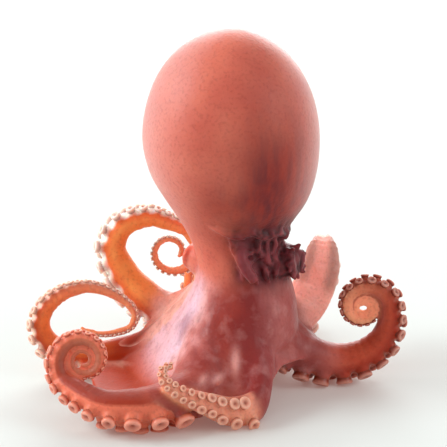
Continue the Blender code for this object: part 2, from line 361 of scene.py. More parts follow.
turn = np.linspace(0, math.tau, BODY_SIDES, endpoint=False)
body_rings = np.stack([
    profile[:, 2:] + profile[:, 1:2] * np.cos(turn),
    MANTLE_DEPTH_SHARE * profile[:, 1:2] * np.sin(turn),
    np.repeat(profile[:, :1], BODY_SIDES, axis=1),
], 2)
flesh.append(ring_tube(body_rings))
print("the body is lofted from", len(body_rings), "rings")

# %% [markdown]
# ## The web between the arms
#
# Skin is stretched between neighbouring arms like cloth on a tent's poles. Each web is
# a grid of points: its columns are curves that drop from the head over a shoulder to
# the free edge, which dips between the arms. A few soft folds run down it. The grid
# gets a top and an underside, nearer together at the edge, where real web is thin.

# %% Webs as folded sheets with a thickness
WEB_REACH = {"right": 25.0, "ear": 17.0, "back_low": 20.0, "back": 22.0, "back_left": 18.0, "left": 24.0,
             "front_left": 24.0, "front": 20.0}
WEBS = (  # arm, arm, how much further it runs along each, how far its edge dips, how far it sags
    ("right", "ear", 0, 0, 0.10, 0.0), ("ear", "back_low", 0, 0, 0.25, 0.3), ("back_low", "back", 0, 0, 0.30, 0.3),
    ("back", "back_left", 0, 0, 0.30, 0.3), ("back_left", "left", 0, 0, 0.28, 0.6),
    ("left", "front_left", 9.0, 22.0, 0.06, 2.6), ("front_left", "front", 0, 13.0, 0.0, 0.0),
    ("front", "right", 0, 0, 0.2, 0.4),
)
WEB_ROWS, WEB_COLUMNS = 48, 36
WEB_TOP_THICKNESS, WEB_EDGE_THICKNESS = 1.9, 1.15
TENT_TOP = np.array([3.0, 0.0, 27.0])
TENT_TOP_RADIUS = 8.5
SHOULDER_SHARE = 0.45
SHOULDER_LIFT, EDGE_LIFT = 4.4, 1.2
SPINE_STEPS = 60
FOLD_HEIGHT = 0.5
FOLDS_ACROSS = 2.0


def along_arm(name, reach, lift):
    place = [np.interp(reach, shapes[name]["along"], lines[name][:, axis]) for axis in range(3)]
    return np.array(place) + (0, 0, lift)


def spine(name, further):
    """The line that a web follows on one arm: from the head over a shoulder, then along the arm's back."""
    shoulder = along_arm(name, WEB_REACH[name] * SHOULDER_SHARE, SHOULDER_LIFT)
    edge = along_arm(name, WEB_REACH[name], EDGE_LIFT)
    outwards = (shoulder - TENT_TOP) * (1, 1, 0)
    top = TENT_TOP + TENT_TOP_RADIUS * outwards / np.linalg.norm(outwards)
    found = []
    for t in np.linspace(0, 1, SPINE_STEPS + 1):
        found.append((1 - t) ** 2 * top + 2 * t * (1 - t) * shoulder + t * t * edge)
    for t in np.linspace(0, 1, SPINE_STEPS // 3 + 1)[1:]:
        found.append(along_arm(name, WEB_REACH[name] + further * t, EDGE_LIFT))
    return np.array(found)


def web_grid(first, second, further_first, further_second, dip, sag, phase):
    spines = [spine(first, further_first), spine(second, further_second)]
    steps = np.arange(len(spines[0])) if further_first or further_second else np.arange(SPINE_STEPS + 1)
    grid = np.zeros((WEB_ROWS + 1, WEB_COLUMNS + 1, 3))
    for column in range(WEB_COLUMNS + 1):
        across = column / WEB_COLUMNS
        hollow = 4 * across * (1 - across)
        line = spines[0][steps] * (1 - across) + spines[1][steps] * across
        outwards = (line[-1] - line[0]) * (1, 1, 0)
        outwards /= np.linalg.norm(outwards)
        for row in range(WEB_ROWS + 1):
            t = row / WEB_ROWS
            spot = t * (1 - dip * hollow) * steps[-1]
            place = np.array([np.interp(spot, steps, line[:, axis]) for axis in range(3)])
            fold = math.sin(math.tau * (FOLDS_ACROSS * across + 0.12 * math.sin(3 * t + phase)) + phase)
            place += outwards * fold * FOLD_HEIGHT * hollow ** 0.5 * smoothstep(0.15, 0.8, t)
            place[2] -= sag * hollow * smoothstep(0.2, 0.8, t)
            grid[row, column] = place
    return grid


def thick_sheet(grid, thickness):
    """Points and faces of a closed sheet about a grid."""
    down, across = np.gradient(grid, axis=0), np.gradient(grid, axis=1)
    normal = np.cross(down, across)
    normal /= np.linalg.norm(normal, axis=2)[..., None] + 1e-9
    half = normal * (thickness / 2)[:, None, None]
    rows, columns = grid.shape[:2]
    points = np.concatenate([(grid + half).reshape(-1, 3), (grid - half).reshape(-1, 3)])
    under = rows * columns
    faces = []
    for i in range(rows - 1):
        for j in range(columns - 1):
            a = i * columns + j
            square = (a, a + 1, a + columns + 1, a + columns)
            faces += [square, tuple(under + v for v in square[::-1])]
    rim = [j for j in range(columns)] + [i * columns + columns - 1 for i in range(1, rows)]
    rim += [(rows - 1) * columns + j for j in range(columns - 2, -1, -1)]
    rim += [i * columns for i in range(rows - 2, 0, -1)]
    faces += [(b, a, under + a, under + b) for a, b in zip(rim, rim[1:] + rim[:1])]
    return points, faces


thickness = np.linspace(WEB_TOP_THICKNESS, WEB_EDGE_THICKNESS, WEB_ROWS + 1)
for number, web in enumerate(WEBS):
    flesh.append(thick_sheet(web_grid(*web, phase=1.7 * number), thickness))
print(len(WEBS), "webs,", WEB_EDGE_THICKNESS, "mm thick at their edges")

# %% [markdown]
# ## Eyes, funnel and the torn lip of the mantle
#
# Cooking shrinks the skin round the head. The mantle's opening gapes on one side of the
# neck, its lip and the skin below it pucker into dark, ragged folds, the funnel pokes
# out from under it, and the lids of the eyes shrink into small tags. The bumps are
# stretched spheres. The lip, folds, tags and funnel are short tapering tubes that
# follow curves on the neck, since a tube is the simplest shape for any fold of skin.

# %% Head details
rng = random.Random(7)
EYES = {"right": ((12.4, -2.0, 31.6), (4.3, 4.3, 4.1), (0.86, -0.5, 0.08)),
        "left": ((-5.6, 3.5, 30.0), (4.0, 4.3, 4.2), (-0.93, 0.3, 0.2))}
EYEBALL_RADIUS = 2.5
EYEBALL_SET_OUT = 1.7


def ball(centre, radii, sides=28):
    steps = np.linspace(0.06, math.pi - 0.06, sides)
    turn = np.linspace(0, math.tau, sides, endpoint=False)
    rings = np.stack([
        np.outer(np.sin(steps), np.cos(turn)) * radii[0],
        np.outer(np.sin(steps), np.sin(turn)) * radii[1],
        np.outer(np.cos(steps), np.ones(sides)) * radii[2],
    ], 2)
    return ring_tube(rings + np.array(centre))


def cord_of_skin(points, radii, sides=12, between=6):
    """A tapering tube through a few points: a fold, a lip or a tag of skin."""
    line = smooth_through([tuple(p) for p in points], between)
    spots = np.linspace(0, len(points) - 1, len(line))
    radii = np.interp(spots, np.arange(len(radii)) * (len(points) - 1) / (len(radii) - 1), radii)
    tangents, facing = carried_along(line)
    side = np.cross(tangents, facing)
    turn = np.linspace(0, math.tau, sides, endpoint=False)[None, :, None]
    rings = line[:, None] + radii[:, None, None] * (side[:, None] * np.cos(turn) + facing[:, None] * np.sin(turn))
    return ring_tube(rings)


for centre, radii, _ in EYES.values():
    flesh.append(ball(centre, radii))

lip = [body_point(angle, height, proud) for angle, height, proud in (
    (-122, 44.0, -1.0), (-106, 42.4, 0.1), (-90, 41.0, 0.2), (-76, 41.8, 0.2), (-62, 40.4, 0.4), (-48, 40.8, 0.3),
    (-34, 39.6, 0.3), (-20, 39.4, 0.0), (-6, 39.6, -0.5), (8, 40.5, -1.4))]
flesh.append(cord_of_skin(lip, (0.5, 0.9, 1.2, 1.0, 1.2, 0.9, 1.0, 0.7, 0.4)))

FOLDS = (  # angle and height where it starts and ends, thickness
    ((-98, 40.0), (-92, 35.0), 0.7), ((-88, 37.5), (-70, 35.8), 0.75), ((-84, 33.6), (-66, 34.6), 0.65),
    ((-72, 39.5), (-60, 34.0), 0.8), ((-58, 38.5), (-50, 31.0), 0.85), ((-47, 39.0), (-42, 32.6), 0.75),
    ((-64, 32.4), (-54, 28.4), 0.7), ((-40, 34.5), (-44, 28.6), 0.8), ((-78, 31.4), (-70, 28.2), 0.6),
    ((-92, 32.6), (-86, 29.2), 0.6), ((-33, 37.8), (-20, 39.0), 0.7), ((-36, 31.2), (-26, 28.6), 0.75),
)
for (angle, height), (to_angle, to_height), thick in FOLDS:
    points = []
    for step in range(5):
        t = step / 4
        sway = 3.0 * math.sin(math.tau * t + 9 * thick) * (1 - t)
        points.append(body_point(angle + (to_angle - angle) * t + sway, height + (to_height - height) * t,
                                 0.25 + 0.55 * math.sin(math.pi * t)))
    flesh.append(cord_of_skin(points, (0.25, thick, thick * 0.9, thick * 0.8, 0.2)))

for centre, radii, looks in EYES.values():
    looks = Vector(looks).normalized()
    beside = looks.cross(Vector((0, 0, 1))).normalized()
    above = beside.cross(looks)
    lid = []
    for step in range(13):
        around = math.tau * step / 12
        open_to = 2.5 + 0.25 * math.sin(3 * around)
        lid.append(Vector(centre) + looks * (3.5 + 0.35 * math.cos(2 * around))
                   + (beside * math.cos(around) + above * math.sin(around) * 0.85) * open_to)
    flesh.append(cord_of_skin(lid, (0.75, 0.95, 0.7, 0.95, 0.75)))

right_centre, _, right_looks = EYES["right"]
for step in range(11):
    around = math.tau * (step + 0.5 * rng.random()) / 11
    looks = Vector(right_looks).normalized()
    beside = looks.cross(Vector((0, 0, 1))).normalized()
    above = beside.cross(looks)
    out = beside * math.cos(around) + above * math.sin(around)
    root = Vector(right_centre) + looks * 3.0 + out * 2.9
    length = 1.3 + 1.1 * rng.random()
    bend = Vector((rng.uniform(-0.3, 0.3), rng.uniform(-0.3, 0.3), rng.uniform(-0.3, 0.3)))
    tip = root + (looks * 0.75 + out * 0.8 + bend).normalized() * length
    flesh.append(cord_of_skin([root - looks, root, tip * 0.6 + root * 0.4, tip], (0.9, 0.85, 0.6, 0.35)))

hem = [along_arm("front", reach, lift) + (0, set_out, 0) for reach, lift, set_out in (
    (20, 3.0, 0.0), (24, 3.2, -0.4), (28, 3.0, -0.8), (32, 2.6, -0.6), (36, 2.0, 0.4))]
flesh.append(cord_of_skin(hem, (0.5, 1.0, 0.95, 0.85, 0.4)))

FUNNEL = [body_point(-88, 37.4, -0.5), body_point(-87, 35.2, 1.0), body_point(-83, 32.4, 1.6), body_point(-76, 29.6, 1.8)]
flesh.append(cord_of_skin(FUNNEL, (1.5, 1.5, 1.35, 1.15)))
print("head details:", len(FOLDS), "folds, 2 eyes, a lip and a funnel")

# %% [markdown]
# ## Where the suckers sit
#
# Each arm carries two rows of suckers side by side, staggered like the teeth of a zip.
# They are as far apart as they are wide, so both shrink with the arm, from four
# millimetres to less than one. Walking along the arm and stepping by its own thickness
# places them all. Every sucker stands on a short stalk of skin, so the stalks are made
# now, to be melted into the arm with everything else.

# %% Sucker places and their stalks
SUCKER_START = 7.0
LATE_START = {"front": 24.0}
SPLAY = math.radians(31)
GAP_AT_TIP, GAP_A_RADIUS = 0.5, 0.76
CUP_SHARE = 0.44
STALK_SHARE = 0.5
rng = random.Random(11)


def at_reach(shape, key, reach):
    values = shape[key]
    if values.ndim == 1:
        return np.interp(reach, shape["along"], values)
    return np.array([np.interp(reach, shape["along"], values[:, axis]) for axis in range(3)])


def sucker_places(shape, start):
    """Each sucker as (base, direction out, direction along the arm, rim radius, height, share)."""
    found, reach, row = [], start, 0
    while reach < shape["along"][-1] - 0.4:
        radius = at_reach(shape, "radius", reach)
        gap = GAP_AT_TIP + GAP_A_RADIUS * radius
        tall, wide = at_reach(shape, "tall", reach), at_reach(shape, "wide", reach)
        facing = at_reach(shape, "facing", reach)
        side = at_reach(shape, "side", reach) * (1 if row % 2 else -1)
        lean = SPLAY * rng.uniform(0.88, 1.1)
        base = at_reach(shape, "middle", reach)
        base = base + facing * tall * SUCKER_SIDE_FLATNESS * math.cos(lean) + side * wide * math.sin(lean)
        out = facing * math.cos(lean * 0.8) + side * math.sin(lean * 0.8)
        out = out + np.array([rng.uniform(-0.09, 0.09) for _ in range(3)])
        out /= np.linalg.norm(out)
        height = max(2 * radius - (1 + SUCKER_SIDE_FLATNESS) * tall, 0.55) * rng.uniform(0.88, 1.0)
        rim = CUP_SHARE * gap * rng.uniform(0.92, 1.06)
        found.append((base, out, at_reach(shape, "tangent", reach), rim, height, at_reach(shape, "share", reach)))
        row += 1
        reach += gap / 2 * rng.uniform(0.94, 1.06)
    return found


places = {name: sucker_places(shape, LATE_START.get(name, SUCKER_START)) for name, shape in shapes.items()}
STALK_SIDES = 10
turn = np.linspace(0, math.tau, STALK_SIDES, endpoint=False)[:, None]
for name, arm_places in places.items():
    for base, out, along, rim, height, _ in arm_places:
        side = np.cross(out, along)
        side /= np.linalg.norm(side)
        ahead = np.cross(side, out)
        circle = side * np.cos(turn) + ahead * np.sin(turn)
        rings = [base + out * lift + circle * rim * wide for lift, wide in (
            (-0.45 * rim, 1.1), (0.15 * height, 1.02), (STALK_SHARE * height, 0.9))]
        flesh.append(ring_tube(np.array(rings)))
print({name: len(found) for name, found in places.items()}, "suckers in all", sum(map(len, places.values())))

# %% [markdown]
# ## One skin from all of it
#
# The real animal has no seams between arm, web and head. Voxel remeshing fills all the
# overlapping tubes and sheets with small cubes and wraps them in one surface, which
# then needs a little smoothing. The voxels are as small as the thinnest fold allows.
# Thinning keeps the mesh light where it is smooth anyway.

# %% Melt the shapes into one skin
VOXEL = 0.38
SMOOTH_TIMES = 3
MOST_TRIANGLES = 186_000


def joined(parts):
    points, faces, used = [], [], 0
    for part_points, part_faces in parts:
        points.append(part_points)
        faces += [tuple(used + v for v in face) for face in part_faces]
        used += len(part_points)
    return np.concatenate(points), faces


def keep_evaluated(item):
    """Makes what the modifiers show the object's own mesh."""
    graph = bpy.context.evaluated_depsgraph_get()
    mesh = bpy.data.meshes.new_from_object(item.evaluated_get(graph))
    item.modifiers.clear()
    item.data = mesh


skin = mesh_object("octopus_skin", *joined(flesh))
remesh = skin.modifiers.new("one skin", "REMESH")
remesh.mode = "VOXEL"
remesh.voxel_size = VOXEL * MM
smooth = skin.modifiers.new("soft joins", "SMOOTH")
smooth.iterations = SMOOTH_TIMES
keep_evaluated(skin)
triangles = 2 * len(skin.data.polygons)
if triangles > MOST_TRIANGLES:
    thin_out = skin.modifiers.new("fewer triangles", "DECIMATE")
    thin_out.ratio = MOST_TRIANGLES / triangles
    keep_evaluated(skin)
print("one skin of", len(skin.data.polygons), "faces, from", triangles, "triangles")

# %% [markdown]
# ## Which part of the animal each point is on
#
# Both the fine shaping and the colours need to know what they are on: an arm's back,
# its underside, the thin edge of a web, the dark folds of the neck. So each point of
# the skin looks up the nearest arm, the direction in which it lies from that arm's
# middle, and how far a straight line goes through the flesh before it comes out.

# %% Masks over the skin
def mesh_points(mesh):
    found = np.empty(len(mesh.vertices) * 3)
    mesh.vertices.foreach_get("co", found)
    return found.reshape(-1, 3) / MM - ORIGIN


def mesh_normals(mesh):
    found = np.empty(len(mesh.vertices) * 3)
    mesh.vertex_normals.foreach_get("vector", found)
    return found.reshape(-1, 3)


def wobble(points, size, seed):
    """Soft noise from -1 to 1 at each point, with lumps of this size in millimetres."""
    shift = Vector((seed * 17.3, seed * 5.1, seed * 9.7))
    return np.array([noise.noise(Vector(p) / size + shift) for p in points])


points = mesh_points(skin.data)
normals = mesh_normals(skin.data)
names = list(shapes)
samples = [(name, i) for name in names for i in range(len(lines[name]))]
arm_tree = kdtree.KDTree(len(samples))
for number, (name, i) in enumerate(samples):
    arm_tree.insert(shapes[name]["middle"][i], number)
arm_tree.balance()
nearest = np.array([arm_tree.find(p)[1:] for p in points])
near_number, near_distance = nearest[:, 0].astype(int), nearest[:, 1]


def of_sample(key):
    return np.array([shapes[name][key][i] for name, i in samples])[near_number]


def of_sample_is(arm):
    return np.array([name == arm for name, _ in samples], float)[near_number]


arm_radius = of_sample("radius")
off_middle = points - of_sample("middle")
off_middle /= np.linalg.norm(off_middle, axis=1)[:, None] + 1e-9
print(len(points), "points looked up among", len(samples), "places on the arms")

# %% [markdown]
# ## Each arm's colours and painted light
#
# Skin pigment is strongest on an octopus's back and missing from the flesh between its
# suckers, and heat draws it into a red edge beside them. The table also paints light: the
# orange of the arms on the left and the pale pink of the ear arm stand for light shining
# through them from behind, and the front arm's dark red edge for the shade in the crease
# under the web. The two front arms stay wine red after boiling. So each arm gets a back,
# an edge and an underside colour in one table, which is easier to tune than eight
# materials. Where the skin ends is scalloped round the suckers, which takes the distance
# to the nearest sucker.

# %% Masks and colours of the arms
# Partly painted light: orange on the left arms and pale pink on the ear arm for light through them, a dark front edge
# for crease shade.
ARM_COLOURS_AND_LIGHT = {  # mm from the root, back, edge, underside, and the share of the section that is back
    "right": (22, "#c25034", "#a8341c", "#a84a34", 0.72), "ear": (12, "#ffbcae", "#f49a88", "#f0c8bc", 0.62),
    "back_low": (18, "#a04a3c", "#8a3424", "#cc8a74", 0.66), "back": (18, "#ec8448", "#c0502a", "#e6a084", 0.66),
    "back_left": (17, "#fca85c", "#ea783e", "#ffeee4", 0.66), "left": (26, "#f08444", "#c84e20", "#f6c8b4", 0.66),
    "front_left": (21, "#94483e", "#a03620", "#e0765a", 0.5), "front": (24, "#a04a44", "#7a2018", "#ec9a7e", 0.46),
}
SUCKERS_SHOW_FROM = {"front": 21, "front_left": 14}
bases = [base for found in places.values() for base, *_ in found]
rims = np.array([rim for found in places.values() for _, _, _, rim, _, _ in found])
sucker_tree = kdtree.KDTree(len(bases))
for number, base in enumerate(bases):
    sucker_tree.insert(base, number)
sucker_tree.balance()
sucker_near = np.array([sucker_tree.find(p)[1:] for p in points])
sucker_share = sucker_near[:, 1] / rims[sucker_near[:, 0].astype(int)]
SCALLOP = 0.07
on_arm = 1 - smoothstep(0.0, 1.2, near_distance - arm_radius)
free_from = np.array([ARM_COLOURS_AND_LIGHT[name][0] for name, _ in samples])[near_number]
past_crown = of_sample("along") - free_from
underside_from = np.array([ARM_COLOURS_AND_LIGHT[name][4] for name, _ in samples])[near_number]
shown_from = np.array([SUCKERS_SHOW_FROM.get(name, 13) for name, _ in samples])[near_number]
masks = {
    "arm": on_arm * smoothstep(-4, 5, past_crown),
    "suckered": on_arm * smoothstep(0, 3, of_sample("along") - shown_from),
    # Painted glow: arm tips paler, as light shining through the thin flesh makes them.
    "tip": on_arm * smoothstep(0.5, 0.78, of_sample("share"))
    * (1 - 0.7 * of_sample_is("front_left") - 0.4 * of_sample_is("left")),
    "under": np.einsum("ij,ij->i", off_middle, of_sample("facing")) * 0.5 + 0.5 - underside_from
    - SCALLOP * (1 - smoothstep(0.9, 1.5, sucker_share)),
}
paints = {
    part: np.array([linear(ARM_COLOURS_AND_LIGHT[name][column]) for name, _ in samples])[near_number]
    for column, part in ((1, "arm_back"), (2, "arm_edge"), (3, "arm_underside"))
}

print("colours of", len(ARM_COLOURS_AND_LIGHT), "arms, scalloped round", len(bases), "suckers")

# %% [markdown]
# ## How thick the flesh is
#
# Light shines through a thin web and makes it paler and warmer. A ray sent inwards from
# each point finds the other side, and its length is the thickness there. A ray is far
# quicker than any search over the points, because the faces are kept in a tree of boxes.

# %% Thickness under each point
LONGEST_RAY = 20.0
START_BELOW = 0.05
THIN, THICK = 1.2, 5.0


def surface_tree(points):
    return BVHTree.FromPolygons([tuple(p) for p in points], [tuple(f.vertices) for f in skin.data.polygons])


bvh = surface_tree(points)
through = np.full(len(points), LONGEST_RAY)
for i, (point, normal) in enumerate(zip(points, normals)):
    start = Vector(point) - Vector(normal) * START_BELOW
    hit = bvh.ray_cast(start, -Vector(normal), LONGEST_RAY)
    if hit[0] is not None:
        through[i] = hit[3]
masks["thin"] = 1 - smoothstep(THIN, THICK, through)
print("half of the skin is over flesh thinner than", round(float(np.median(through)), 1), "mm")

# %% [markdown]
# ## Regions of the body
#
# The body's own regions are told by the angle round it and the height, with noise on
# both so that no border is a clean line. Folds are the dark, torn skin round the neck.
# A wine-coloured band climbs the front of the mantle. Beside it the right edge turns a
# greyer pink and the left flank and upper right a paler one, which is painted light: the
# room's rim light on the right and the key lamp's light on the left. The pocket is the
# orange skin deep between the arms on the left, partly a painted glow of light through
# the web. The crown's colour changes with the angle, so it is a row of stops like a
# colour ramp bent round the body, and its pale stops on the left are partly painted
# light from the key lamp. Glints are painted highlights on a few wet folds near the hem,
# and the dark spot is a purple patch low on the crown's left.

# %% Masks and colours of the body
from_axis = np.linalg.norm((points - (MANTLE_SHIFT + 2, 0, 0))[:, :2], axis=1)
around = np.degrees(np.arctan2(points[:, 1] / MANTLE_DEPTH_SHARE, points[:, 0] - 3.0))
ragged = wobble(points, 3.0, 1) * 0.6 + wobble(points, 1.4, 2) * 0.4
height = points[:, 2]
masks["folds"] = (
    smoothstep(-110, -90, around + 16 * ragged) * (1 - smoothstep(8, 28, around + 10 * ragged))
    * smoothstep(26.0, 30.0, height + 0.035 * (around + 60) + 2.0 * ragged)
    * (1 - smoothstep(40.0, 46.5, height + 3.2 * ragged))
    * (1 - smoothstep(17.5, 19.5, from_axis))
)
BAND_ANGLES = ((15, -88), (22, -82), (32, -62), (42, -60), (50, -72), (64, -66))
band_centre = np.interp(height, *zip(*BAND_ANGLES))
off_band = around - band_centre + 10 * wobble(points, 9, 8)
at_neck = smoothstep(35, 40, height) * (1 - smoothstep(46, 58, height))
masks["wine"] = (
    np.exp(-(off_band / np.where(off_band < 0, 30, 40) / (1 + 0.45 * at_neck)) ** 2)
    * (0.15 + 0.85 * (1 - smoothstep(52, 80, height))) * (0.35 + 0.65 * smoothstep(9, 17, height))
)
ridges = 1 - 2 * np.abs(wobble(points * (1, 1, 0.4) + 1.1 * wobble(points, 3, 12)[:, None], 1.6, 3))
funnel_line = np.array(FUNNEL)[:, None]
from_funnel = np.linalg.norm(points - funnel_line, axis=2).min(0)
# Painted highlights: the crests of the torn folds and the skin round the funnel turn a lighter plum.
masks["crest"] = masks["folds"] * np.maximum(smoothstep(0.5, 0.95, ridges), 1 - smoothstep(1.6, 2.8, from_funnel))
# Painted rim light: the mantle's right edge, lower down, turns a greyer, paler pink.
masks["dusky"] = 0.9 * smoothstep(-70, -20, around) * (1 - smoothstep(25, 60, around)) * (1 - smoothstep(40, 70, height))
# Partly painted glow: the saturated orange of the hollow web between the left arms stands for light shining through it.
masks["pocket"] = (
    (1 - smoothstep(20, 40, np.abs(np.abs(around) - 168 + 8 * (around < 0))))
    * smoothstep(19, 26, from_axis) * (1 - smoothstep(16, 21, height))
)
# Painted light: the left flank, where the key lamp falls, and the upper right, where the rim light falls, are paler.
masks["pale"] = (
    0.55 * smoothstep(115, 175, np.abs(around)) * smoothstep(38, 50, height)
    + 0.8 * (1 - smoothstep(10, 74, np.abs(around - 14))) * smoothstep(42, 55, height)
).clip(0, 1)
# A purple spot low on the crown's left.
masks["bruise"] = 0.7 * np.exp(-((around + 150 + 4 * wobble(points, 2, 31)) / 8) ** 2 - ((height - 18) / 2.4) ** 2)
# Painted highlights: a few pale glints on wet folds of the web near the hem, each also raised a little.
GLINT_SPOTS = ((1.6, 12.4, 0.8, 2.5), (-2.4, 9.9, 1.3, 0.7), (-5.6, 10.6, 0.9, 0.7))  # x, z, half width, half height
masks["frost"] = sum(
    np.exp(-((points[:, 0] - x + 0.3 * wobble(points, 1.2, 32)) / wide) ** 2 - ((height - z) / high) ** 2)
    for x, z, wide, high in GLINT_SPOTS
) * (points[:, 1] < -12)
masks["crown"] = (1 - smoothstep(24, 31, height)) * (1 - masks["arm"]) * (1 - masks["pocket"])
masks["rim"] = on_arm * of_sample_is("ear") * smoothstep(
    0.5, 0.85, np.abs(np.einsum("ij,ij->i", off_middle, of_sample("side")))) * smoothstep(22, 27, of_sample("along"))
# Partly painted light: the pale pinkish-white stops on the left, where the key lamp falls, stand for its light.
CROWN_COLOURS_AND_LIGHT = (  # angle round the body, colour
    (-180, "#deaab0"), (-152, "#e6c4d2"), (-138, "#e2a6a4"), (-128, "#bc6a64"), (-118, "#9a423c"), (-100, "#9e3a30"),
    (-88, "#8c2c28"), (-76, "#8a2e2c"), (-66, "#9c4a48"), (-52, "#ac5c58"), (-30, "#a04c48"), (0, "#8e3c36"),
    (60, "#a8564c"), (120, "#c4725c"), (180, "#e2a698"),
)
stops, codes = zip(*CROWN_COLOURS_AND_LIGHT)
turned = around + 11 * wobble(points, 7, 21) + 6 * wobble(points, 2.5, 22)
paints["crown_colour"] = np.stack([np.interp(turned, stops, [linear(code)[part] for code in codes]) for part in range(4)], 1)
print("regions of the body:", ", ".join(masks))

# %% [markdown]
# ## Softer borders
#
# Pigment never ends at a line, so every mask is softened by averaging each point with
# its neighbours along the mesh's edges, many times for a broad border and twice for a
# crisp one. Doing it over the edges keeps a web's colour from jumping over to an arm
# that only passes close by.

# %% Spread the masks over the mesh
edges = np.empty(2 * len(skin.data.edges), int)
skin.data.edges.foreach_get("vertices", edges)
edges = edges.reshape(-1, 2)
neighbours = np.bincount(edges.ravel(), minlength=len(points))


def spread(values, times):
    """Softens values on the points by averaging over neighbours."""
    for _ in range(times):
        total = np.bincount(edges[:, 0], values[edges[:, 1]], len(points))
        total += np.bincount(edges[:, 1], values[edges[:, 0]], len(points))
        values = 0.4 * values + 0.6 * total / neighbours
    return values


SPREAD_TIMES = {"thin": 30, "arm": 12, "crown": 12, "suckered": 6}
masks["thin"] = masks["thin"] * (1 - 0.8 * masks["crown"]) * (1 - 0.8 * masks["pocket"])
masks = {name: spread(mask, SPREAD_TIMES.get(name, 2)) for name, mask in masks.items()}
print("masks:", {name: round(float(mask.mean()), 3) for name, mask in masks.items()})

# %% [markdown]
# ## Fine shaping
#
# Boiled skin isn't as smooth as the remeshed surface. Pushing each point in or out
# along its normal by a little noise does what a sculptor's brush would do: low, broad
# unevenness on the mantle, lumps on the crown, sharp puckers in the dark folds, and
# rings of fine wrinkles on the backs of the curled arms. The part below the resting
# plane is pressed flat, as soft flesh is by its own weight.

# %% Sculpt the skin in code
MANTLE_UNEVEN, CROWN_LUMPS, PUCKERS, ARM_WRINKLES = 0.22, 0.28, 0.22, 0.08
GLINT_SPOT_LIFT = 0.5
CROWN_SMOOTHING = 10

mantle_mask = smoothstep(38, 46, height)
crown_mask = (1 - smoothstep(26, 34, height)) * (1 - masks["arm"])
wrinkle_phase = of_sample("along") / (0.55 + 0.22 * arm_radius)
push = (
    MANTLE_UNEVEN * mantle_mask * wobble(points, 13, 4)
    + CROWN_LUMPS * crown_mask * (wobble(points, 6.5, 5) + 0.4 * wobble(points, 3.0, 6))
    + PUCKERS * masks["folds"] * (ridges - 0.7)
    + GLINT_SPOT_LIFT * masks["frost"]
    + ARM_WRINKLES * masks["arm"] * (1 - smoothstep(-0.3, 0.0, masks["under"])) * np.sin(wrinkle_phase * math.tau)
)
points = points + normals * push[:, None]
points[:, 2] = np.maximum(points[:, 2], PRESSED_IN)
skin.data.vertices.foreach_set("co", ((points + ORIGIN) * MM).ravel())
for name, mask in masks.items():
    skin.data.attributes.new(name, "FLOAT", "POINT").data.foreach_set("value", mask.astype(np.float32))
for name, paint in paints.items():
    skin.data.attributes.new(name, "FLOAT_COLOR", "POINT").data.foreach_set("color", paint.ravel())
skin.data.shade_smooth()
soft = skin.vertex_groups.new(name="crown")
for number, weight in enumerate(masks["crown"] * (1 - masks["folds"])):
    if weight > 0.01:
        soft.add([number], float(weight), "REPLACE")
smooth = skin.modifiers.new("soft crown", "SMOOTH")
smooth.iterations = CROWN_SMOOTHING
smooth.vertex_group = "crown"
keep_evaluated(skin)
print("pushed by up to", round(float(np.abs(push).max()), 2), "mm")

# %% [markdown]
# ## The suckers
#
# A sucker is a soft cup: a waist on its stalk, a flared rim, and a shallow dish with a
# hole in the middle. That is a shape turned about an axis, so one profile is spun for
# each, with fewer sides on the small ones. All are joined into one piece. A cup that
# would be inside a neighbouring turn of its arm is pushed down or left out.

# %% Spin the cups
CUP_PROFILE = (  # share of the rim's radius, share of the height, tone from stalk 0 to hole 1
    (0.90, 0.15, 0.0), (0.88, 0.38, 0.12), (0.91, 0.54, 0.28), (0.98, 0.66, 0.45), (1.0, 0.78, 0.58),
    (0.97, 0.90, 0.68), (0.87, 0.98, 0.75), (0.73, 1.0, 0.8), (0.58, 0.95, 0.85), (0.42, 0.89, 0.9),
    (0.26, 0.84, 0.95), (0.12, 0.72, 1.0),
)
SMALLEST_CUP = 0.34
bvh = surface_tree(mesh_points(skin.data))


def is_inside(point):
    place, normal, _, _ = bvh.find_nearest(Vector(point))
    return (Vector(point) - place).dot(normal) < 0.0


def fitting_height(base, out, height, circle):
    """The height at which the whole rim is clear of the flesh beside it, or None."""
    for share in (1.0, 0.85, 0.7, 0.55):
        middle = base + out * height * share
        if not any(is_inside(middle + spoke) for spoke in (0 * out, *circle)):
            return height * share
    return None


cups, tones, undersides = [], [], []
for name, arm_places in places.items():
    for base, out, along, rim, height, share in arm_places:
        if rim < SMALLEST_CUP:
            continue
        sides = 14 if rim > 1.1 else 11 if rim > 0.6 else 8
        spin = np.linspace(0, math.tau, sides, endpoint=False)[:, None]
        side = np.cross(out, along)
        side /= np.linalg.norm(side)
        ahead = np.cross(side, out)
        squeeze = 1 + 0.07 * math.sin(17 * share)
        circle = side * np.cos(spin) * squeeze + ahead * np.sin(spin) / squeeze
        fitted = fitting_height(base, out, height, circle[::3] * rim * 0.75)
        if fitted is None:
            continue
        rings = np.array([base + out * fitted * lift + circle * rim * wide for wide, lift, _ in CUP_PROFILE])
        cups.append(ring_tube(rings))
        tones += [tone for _, _, tone in CUP_PROFILE for _ in range(sides)]
        undersides += [linear(ARM_COLOURS_AND_LIGHT[name][3])] * (len(CUP_PROFILE) * sides)
cup_points, cup_faces = joined(cups)
cup_points[:, 2] = np.maximum(cup_points[:, 2], PRESSED_IN + 0.03)
suckers = mesh_object("suckers", cup_points, cup_faces)
suckers.data.attributes.new("tone", "FLOAT", "POINT").data.foreach_set("value", tones)
suckers.data.attributes.new("flesh", "FLOAT_COLOR", "POINT").data.foreach_set("color", np.ravel(undersides))
suckers.data.shade_smooth()
print(len(cups), "suckers,", sum(len(f) - 2 for f in cup_faces), "triangles")

# %% [markdown]
# ## The eyes
#
# A cooked eye is a dark, cloudy ball with a pale lens, set deep between its lids. A
# ball of rings is enough, flattened a little as cooked eyes are.

